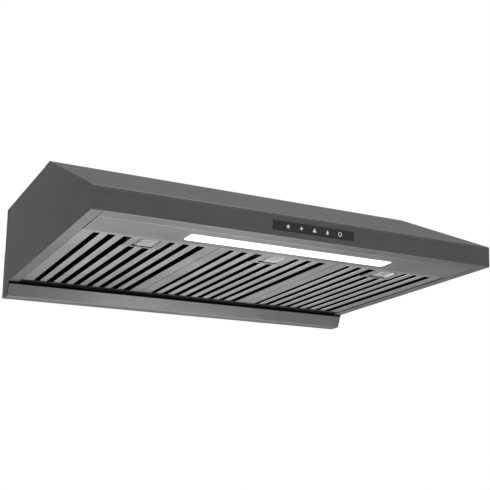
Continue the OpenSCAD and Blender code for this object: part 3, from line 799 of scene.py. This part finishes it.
def build_oil_tray():
    """Trough of one folded sheet with an end cap at each side."""
    low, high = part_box("oil_tray")
    corners = [
        Vector((high.y, high.z)),
        Vector((high.y, low.z)),
        Vector((low.y + TRAY_LEAN, low.z)),
        Vector((low.y, high.z)),
        Vector((low.y + TRAY_LIP, high.z)),
    ]
    cap = [
        corners[0] + Vector((-SHEET, -SHEET)),
        corners[1] + Vector((-SHEET, SHEET)),
        corners[2] + Vector((0.3 * MM, SHEET)),
        corners[3] + Vector((1.6 * MM, -SHEET)),
    ]
    edge = 0.1 * MM
    bm = bmesh.new()
    folded_sheet(bm, rounded(corners, 1.8 * MM, 8), -SHEET, low.x, high.x, along_x)
    for ends in ((low.x + edge, low.x + SHEET), (high.x - SHEET, high.x - edge)):
        skin_rings(bm, [[along_x(p, x) for p in cap] for x in ends])
    piece = new_piece("oil_tray_trough", bm)
    finish_edges(piece, 0.2 * MM)
    place_piece(piece, "oil_tray", "tray", "oil_tray")


# ---------------------------------------------------------------------- blower


def blade_path(angle, r0, r1):
    """Forward-curved blade from radius r0 to r1, starting at an angle."""
    curl = 0.3
    steps = 6
    path = []
    for k in range(steps + 1):
        t = k / steps
        r = r0 + (r1 - r0) * t
        a = angle + curl * t * t
        path.append(Vector((r * math.cos(a), r * math.sin(a))))
    return path


def hub_profile(radius):
    """(radius, height) of the wheel's back plate, from its rim in to the boss on the shaft."""
    plate = 1.5 * MM
    boss_r = 12 * MM
    boss_h = 16 * MM
    edge = 1 * MM
    profile = [(SHAFT_R, 0), (radius - edge, 0), (radius, 0.8 * MM), (radius - edge, plate)]
    profile += [(22 * MM, plate), (14 * MM, 4 * MM), (boss_r, 6 * MM)]
    profile += [(boss_r, boss_h - edge), (boss_r - edge, boss_h), (SHAFT_R, boss_h)]
    return profile


def build_wheel(name, side):
    """Blower wheel: hub plate, curved blades and an end ring. The hub faces the motor."""
    low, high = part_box(name)
    centre = (low + high) / 2
    radius = (high.z - low.z) / 2
    inner = radius - 11 * MM
    width = high.x - low.x
    hub_x = low.x if side > 0 else high.x
    place = across(hub_x, centre.y, centre.z, side)
    bm = bmesh.new()
    revolve(bm, hub_profile(radius), place)
    ring_foot = width - 3 * MM
    ring = [(inner, ring_foot), (radius, ring_foot), (radius, width - 0.6 * MM), (inner + 1 * MM, width)]
    revolve(bm, ring, place)
    count = 28
    in_hub, in_ring = 1 * MM, 2.5 * MM
    near, far = (in_hub, in_ring) if side > 0 else (in_ring, in_hub)
    for k in range(count):
        path = blade_path(math.tau * k / count, inner + 0.5 * MM, radius - 0.9 * MM)
        path = [p + Vector((centre.y, centre.z)) for p in path]
        folded_sheet(bm, path, 0.7 * MM, low.x + near, high.x - far, along_x)
    piece = new_piece(f"{name}_blades", bm)
    finish_edges(piece, 0.12 * MM)
    place_piece(piece, "rotor", "wheel", name)


def build_motor():
    """Motor can with domed ends, and cooling ribs at each end."""
    low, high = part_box("motor")
    centre = (low + high) / 2
    half = (high.x - low.x) / 2
    bore, boss = SHAFT_R + 0.05 * MM, 13 * MM
    end = [(bore, half), (12.2 * MM, half), (boss, half - 0.8 * MM), (boss, half - 5.5 * MM)]
    end += [(30 * MM, half - 6 * MM), (34.5 * MM, half - 8 * MM), (36 * MM, half - 11 * MM)]
    end += [(36 * MM, half - 13.6 * MM), (40.5 * MM, half - 14 * MM), (42 * MM, half - 15.5 * MM)]
    bm = bmesh.new()
    revolve(bm, end + [(r, -h) for r, h in reversed(end)], across(*centre), 96)
    rib = Vector((8.2, 1.6, 6.4)) * MM
    ribs = 24
    for side in (-1, 1):
        middle = Matrix.Translation(Vector((side * 36.1, 0, 38.2)) * MM)
        for k in range(ribs):
            turn = Matrix.Rotation(math.tau * k / ribs, 4, "X")
            block_at(bm, Matrix.Translation(centre) @ turn @ middle, rib)
    piece = new_piece("motor_can", bm)
    finish_edges(piece, 0.2 * MM)
    place_piece(piece, "casing", "motor", "motor")


def build_collar():
    """Duct collar with a rolled bead near its mouth, on a flange."""
    low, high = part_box("duct_collar")
    inner = DUCT_R - 1.5 * MM
    flange = (high.x - low.x) / 2
    height = high.z - low.z
    profile = [(inner, 0), (flange, 0), (flange, SHEET), (DUCT_R + 1.2 * MM, SHEET), (DUCT_R, 2.4 * MM)]
    bead = height - 12 * MM
    for k in range(9):
        angle = math.pi * k / 8
        profile.append((DUCT_R - 0.6 * MM + 1.5 * MM * math.sin(angle), bead - 3 * MM * math.cos(angle)))
    profile += [(DUCT_R - 0.4 * MM, height - 0.8 * MM), (DUCT_R - 0.8 * MM, height), (inner, height)]
    bm = bmesh.new()
    revolve(bm, profile, upright((low + high) / 2, low.z), 128)
    piece = new_piece("duct_collar_ring", bm)
    finish_edges(piece, 0.15 * MM)
    place_piece(piece, "casing", "collar", "duct_collar")


def screw_mesh(r, length):
    """Pan head with a cross recess, on a plain shank, seat at the origin."""
    head = r * 2
    profile = [(r, -length), (r, 0), (head, 0), (head, r * 0.35)]
    profile += [(head * 0.82, r * 0.85), (head * 0.45, r * 1.15), (head * 0.1, r * 1.2)]
    bm = bmesh.new()
    revolve(bm, profile, Matrix.Identity(4), 32, loop=False)
    piece = new_piece("screw", bm)
    for w, d in ((head * 1.1, r * 0.34), (r * 0.34, head * 1.1)):
        cut_box(piece, (-w / 2, -d / 2, r * 0.45), (w / 2, d / 2, r * 2))
    mesh = piece.data
    bpy.data.objects.remove(piece)
    return mesh


def build_screws(name, node, points, r, length):
    """A set of the same screw, heads up, at the given seats."""
    mesh = screw_mesh(r, length)
    bm = bmesh.new()
    for k, p in enumerate(points):
        add_copy(bm, mesh, Matrix.Translation(p) @ Matrix.Rotation(k * 0.9, 4, "Z"))
    bpy.data.meshes.remove(mesh)
    piece = new_piece(name, bm)
    finish_edges(piece, 0.08 * MM)
    place_piece(piece, "casing", "shine", node)


def build_all_screws():
    low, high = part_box("duct_collar")
    centre = (low + high) / 2
    seats = []
    for k in range(6):
        angle = math.radians(60 * k)
        x = centre.x + COLLAR_SCREW_R * math.cos(angle)
        y = centre.y + COLLAR_SCREW_R * math.sin(angle)
        seats.append(Vector((x, y, low.z + SHEET)))
    build_screws("collar_screw_set", "collar_screws", seats, 1.7 * MM, SHEET)
    low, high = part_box("blower_screws")
    head = 4 * MM
    xs = (low.x + head, high.x - head)
    ys = (low.y + head, high.y - head)
    seats = [Vector((x, y, 0)) for x in xs for y in ys]
    build_screws("blower_screw_set", "blower_screws", seats, 2 * MM, 8 * MM)


def build_led_board():
    """Light board with a row of chips under their opal lens."""
    low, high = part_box("led_board")
    chip = Vector((3.5, 2.8, 0.7)) * MM
    count = 23
    bm = bmesh.new()
    block(bm, low, high)
    for k in range(count):
        x = low.x + (high.x - low.x) * (k + 0.5) / count
        block_at(bm, Matrix.Translation((x, (low.y + high.y) / 2, low.z - chip.z / 2)), chip)
    piece = new_piece("light_board_chips", bm)
    finish_edges(piece, 0.1 * MM)
    place_piece(piece, "casing", "light_board", "led_board")


# -------------------------------------------------------------------- services


def build_capacitor():
    """Round capacitor with a rolled crimp, two blade terminals and its mounting tab."""
    low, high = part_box("capacitor")
    radius = (high.y - low.y) / 2
    y = (low.y + high.y) / 2
    z = low.z + radius
    crimp = radius - 0.9 * MM
    profile = [(radius - 1.5 * MM, 0), (radius, 1.5 * MM), (radius, 50 * MM), (crimp, 51.5 * MM)]
    profile += [(crimp, 54 * MM), (radius, 55.5 * MM), (radius, 58.8 * MM), (radius - 1.2 * MM, 60 * MM)]
    profile += [(10 * MM, 60 * MM), (10 * MM, 62.5 * MM), (9.2 * MM, 63 * MM)]
    bm = bmesh.new()
    revolve(bm, profile, across(low.x, y, z), loop=False)
    half = Vector((0, 0.4, 3.1)) * MM
    for side in (-1, 1):
        root = Vector((low.x + 62 * MM, y + side * 4.5 * MM, z))
        tip = Vector((high.x, root.y, z))
        block(bm, root - half, tip + half)
    tab_z = z + radius - 1.5 * MM
    block(bm, (low.x + 18 * MM, y - 9 * MM, tab_z), (low.x + 38 * MM, y + 9 * MM, high.z))
    piece = new_piece("capacitor_can", bm)
    finish_edges(piece, 0.15 * MM)
    place_piece(piece, "casing", "white_plastic", "capacitor")


def build_light_driver():
    """Moulded driver case with a raised lid and a terminal block at each end."""
    low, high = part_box("light_driver")
    centre = (low + high) / 2
    half_w = (high.x - low.x) / 2
    depth = high.y - low.y
    case_w = 2 * half_w - 24 * MM
    levels = [(high.z - low.z, 0), (1.6 * MM, 0), (1.4 * MM, 0.5 * MM)]
    levels += [(1.0 * MM, 0.5 * MM), (0.4 * MM, 0.7 * MM), (0, 1.6 * MM)]
    bm = bmesh.new()
    outline = rounded_outline(case_w, depth, 4 * MM)
    skin_rings(bm, plate_rings(outline, levels, upright(centre, low.z)))
    screw = [(2.4 * MM, 0), (2.6 * MM, 0.5 * MM), (2.6 * MM, 1.5 * MM)]
    for side in (-1, 1):
        near, far = sorted((centre.x + side * (case_w / 2 - 1 * MM), centre.x + side * half_w))
        block(bm, (near, low.y + 5 * MM, high.z - 14 * MM), (far, high.y - 5 * MM, high.z))
        for k in (1, 2, 3):
            seat = Matrix.Translation(((near + far) / 2, low.y + depth * k / 4, high.z - 14.6 * MM))
            revolve(bm, screw, seat, 24, loop=False)
    piece = new_piece("light_driver_case", bm)
    finish_edges(piece, 0.3 * MM)
    place_piece(piece, "casing", "white_plastic", "light_driver")


def add_nut(bm, matrix, foot, head):
    """Adds a hexagon nut between two heights."""
    inner, outer, edge = 9 * MM, 15 * MM, 0.5 * MM
    nut = [(inner, foot), (outer - edge, foot), (outer, foot + edge)]
    nut += [(outer, head - edge), (outer - edge, head), (inner, head)]
    revolve(bm, nut, matrix, 6)


def build_gland():
    """Cable gland: threaded body, hexagon flange, lock nut and ribbed cap."""
    low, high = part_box("cable_gland")
    matrix = upright((low + high) / 2, 0)
    bore, crest = 5 * MM, 10.9 * MM
    root = crest - 0.7 * MM
    thread = [(crest if k % 2 else root, low.z + 0.8 * MM * k) for k in range(20)]
    bm = bmesh.new()
    revolve(bm, [(bore, low.z)] + thread + [(crest, 10 * MM), (bore, 10 * MM)], matrix, 48)
    add_nut(bm, matrix, 0, 5 * MM)
    add_nut(bm, matrix, -8.6 * MM, -3.6 * MM)
    cap = [(bore, 5 * MM), (12 * MM, 5 * MM), (12 * MM, 13 * MM), (10.5 * MM, 16 * MM), (8 * MM, high.z)]
    cap += [(6 * MM, high.z), (bore, 16 * MM)]
    revolve(bm, cap, matrix)
    rib = Vector((0.8, 1.3, 7)) * MM
    middle = Matrix.Translation(Vector((12.1, 0, 9)) * MM)
    ribs = 24
    for k in range(ribs):
        turn = Matrix.Rotation(math.tau * k / ribs, 4, "Z")
        block_at(bm, matrix @ turn @ middle, rib)
    piece = new_piece("cable_gland_body", bm)
    finish_edges(piece, 0.1 * MM)
    place_piece(piece, "casing", "plastic", "cable_gland")


def build_wiring_cover():
    """Cover of the wiring box, with its two screws, heads down."""
    low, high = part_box("wiring_cover")
    centre = (low + high) / 2
    plate = 1 * MM
    plate_z = high.z - plate
    outline = rounded_outline(high.x - low.x, high.y - low.y, 2.5 * MM)
    bm = bmesh.new()
    skin_rings(bm, plate_rings(outline, [(plate, 0), (0, 0)], upright(centre, plate_z)))
    mesh = screw_mesh(1.6 * MM, 0.5 * MM)
    for x in (low.x + 13 * MM, high.x - 13 * MM):
        seat = Matrix.Translation((x, centre.y, plate_z)) @ Matrix.Rotation(math.pi, 4, "X")
        add_copy(bm, mesh, seat)
    bpy.data.meshes.remove(mesh)
    piece = new_piece("wiring_box_lid", bm)
    finish_edges(piece, 0.12 * MM)
    place_piece(piece, "casing", "zinc", "wiring_cover")


# ----------------------------------------------------- CAD nodes kept as they are

KEPT = {
    "top_panel": "black_x",
    "left_side_panel": "black_left",
    "right_side_panel": "black_right",
    "back_panel": "back",
    "rear_filter_rail": "rail",
    "led_housing": "zinc",
    "touch_symbols": "print",
    "control_carrier": "plastic",
    "control_board": "board",
    "control_cover": "plastic",
    "tray_clips": "shine",
    "blower_housing": "zinc",
    "left_end_plate": "zinc",
    "right_end_plate": "zinc",
    "motor_bracket": "zinc",
    "motor_shaft": "shine",
    "damper_rods": "shine",
    "front_damper_flap": "collar",
    "rear_damper_flap": "collar",
    "wiring_box": "zinc",
}


def dress_kept_nodes():
    """Materials and small rounds on the CAD nodes that aren't replaced."""
    kept = dict(KEPT)
    for i in FILTERS:
        kept[filter_name(i, "frame")] = "filter_x"
        kept[filter_name(i, "tongue")] = "tongue"
    for name, material in kept.items():
        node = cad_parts[name]
        dress(node, material)
        round_edges(node, 0.3 * MM, KEPT_ROUND_ABOVE)


# ------------------------------------------------------------- floor, light, view


def build_floor():
    place = Matrix.Translation((0, 0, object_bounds()[0].z - FLOOR_DROP))
    bm = bmesh.new()
    bmesh.ops.create_circle(bm, cap_ends=True, segments=96, radius=FLOOR_R, matrix=place)
    floor = new_piece("floor", bm)
    material, nodes, links, shader = node_material("pale_floor")
    cloud = ramp(nodes, links, noise(nodes, links, 3, EVEN, 3), 0.985, 1.0)
    links.new(tint(nodes, links, (0.86, 0.86, 0.85), cloud), shader.inputs["Base Color"])
    shader.inputs["Roughness"].default_value = 0.9
    floor.data.materials.append(material)


def area_light(name, place, target, size, power):
    """Softbox that lights the part and isn't seen by the camera."""
    light = bpy.data.lights.new(name, "AREA")
    light.shape = "RECTANGLE"
    light.size, light.size_y = size
    light.energy = power
    lamp = bpy.data.objects.new(name, light)
    bpy.context.collection.objects.link(lamp)
    lamp.location = place
    lamp.rotation_euler = (Vector(target) - Vector(place)).to_track_quat("-Z", "Y").to_euler()
    lamp.visible_camera = False


def build_world():
    """White behind the object, and a softer grey room for it to reflect."""
    world = bpy.data.worlds.new("studio")
    world.use_nodes = True
    nodes, links = world.node_tree.nodes, world.node_tree.links
    nodes.clear()
    seen = nodes.new("ShaderNodeBackground")
    seen.inputs["Color"].default_value = (1, 1, 1, 1)
    room = nodes.new("ShaderNodeBackground")
    room.inputs["Color"].default_value = (0.34, 0.34, 0.34, 1)
    path = nodes.new("ShaderNodeLightPath")
    mix = nodes.new("ShaderNodeMixShader")
    output = nodes.new("ShaderNodeOutputWorld")
    links.new(path.outputs["Is Camera Ray"], mix.inputs["Fac"])
    links.new(room.outputs["Background"], mix.inputs[1])
    links.new(seen.outputs["Background"], mix.inputs[2])
    links.new(mix.outputs["Shader"], output.inputs["Surface"])
    bpy.context.scene.world = world


def build_camera():
    """Camera solved from the casing's edges in the photo."""
    yaw, pitch, roll = (math.radians(a) for a in (CAMERA_YAW, CAMERA_PITCH, CAMERA_ROLL))
    ahead = Vector((math.sin(yaw) * math.cos(pitch), math.cos(yaw) * math.cos(pitch), math.sin(pitch)))
    level = Vector((math.cos(yaw), -math.sin(yaw), 0))
    above = level.cross(ahead)
    right = level * math.cos(roll) + above * math.sin(roll)
    up = above * math.cos(roll) - level * math.sin(roll)
    data = bpy.data.cameras.new("camera")
    data.sensor_width = 36
    data.lens = CAMERA_LENS
    data.shift_x, data.shift_y = CAMERA_SHIFT
    camera = bpy.data.objects.new("camera", data)
    bpy.context.collection.objects.link(camera)
    matrix = Matrix((right, up, -ahead)).transposed().to_4x4()
    matrix.translation = CAMERA_PLACE
    camera.matrix_world = matrix
    bpy.context.scene.camera = camera


def build_scene():
    bpy.context.scene.view_settings.view_transform = "Standard"
    build_camera()
    build_world()
    build_floor()
    for name, (place, target, size, power) in LIGHTS.items():
        area_light(name, place, target, size, power)


def build_part():
    dress_kept_nodes()
    build_front_panel()
    build_light_panel()
    build_lens()
    build_touch_glass()
    for i in FILTERS:
        build_front_baffles(i)
        build_rear_baffles(i)
        build_spring(i)
        build_latch(i)
    build_oil_tray()
    build_wheel("left_wheel", -1)
    build_wheel("right_wheel", 1)
    build_motor()
    build_collar()
    build_all_screws()
    build_led_board()
    build_capacitor()
    build_light_driver()
    build_gland()
    build_wiring_cover()


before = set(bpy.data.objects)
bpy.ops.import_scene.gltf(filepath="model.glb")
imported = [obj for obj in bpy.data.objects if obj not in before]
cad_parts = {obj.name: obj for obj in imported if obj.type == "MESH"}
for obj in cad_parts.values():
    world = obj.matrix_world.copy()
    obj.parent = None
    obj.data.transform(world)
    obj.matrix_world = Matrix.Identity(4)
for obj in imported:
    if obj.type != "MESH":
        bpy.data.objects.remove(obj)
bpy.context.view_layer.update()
materials = make_materials()
build_scene()
build_part()
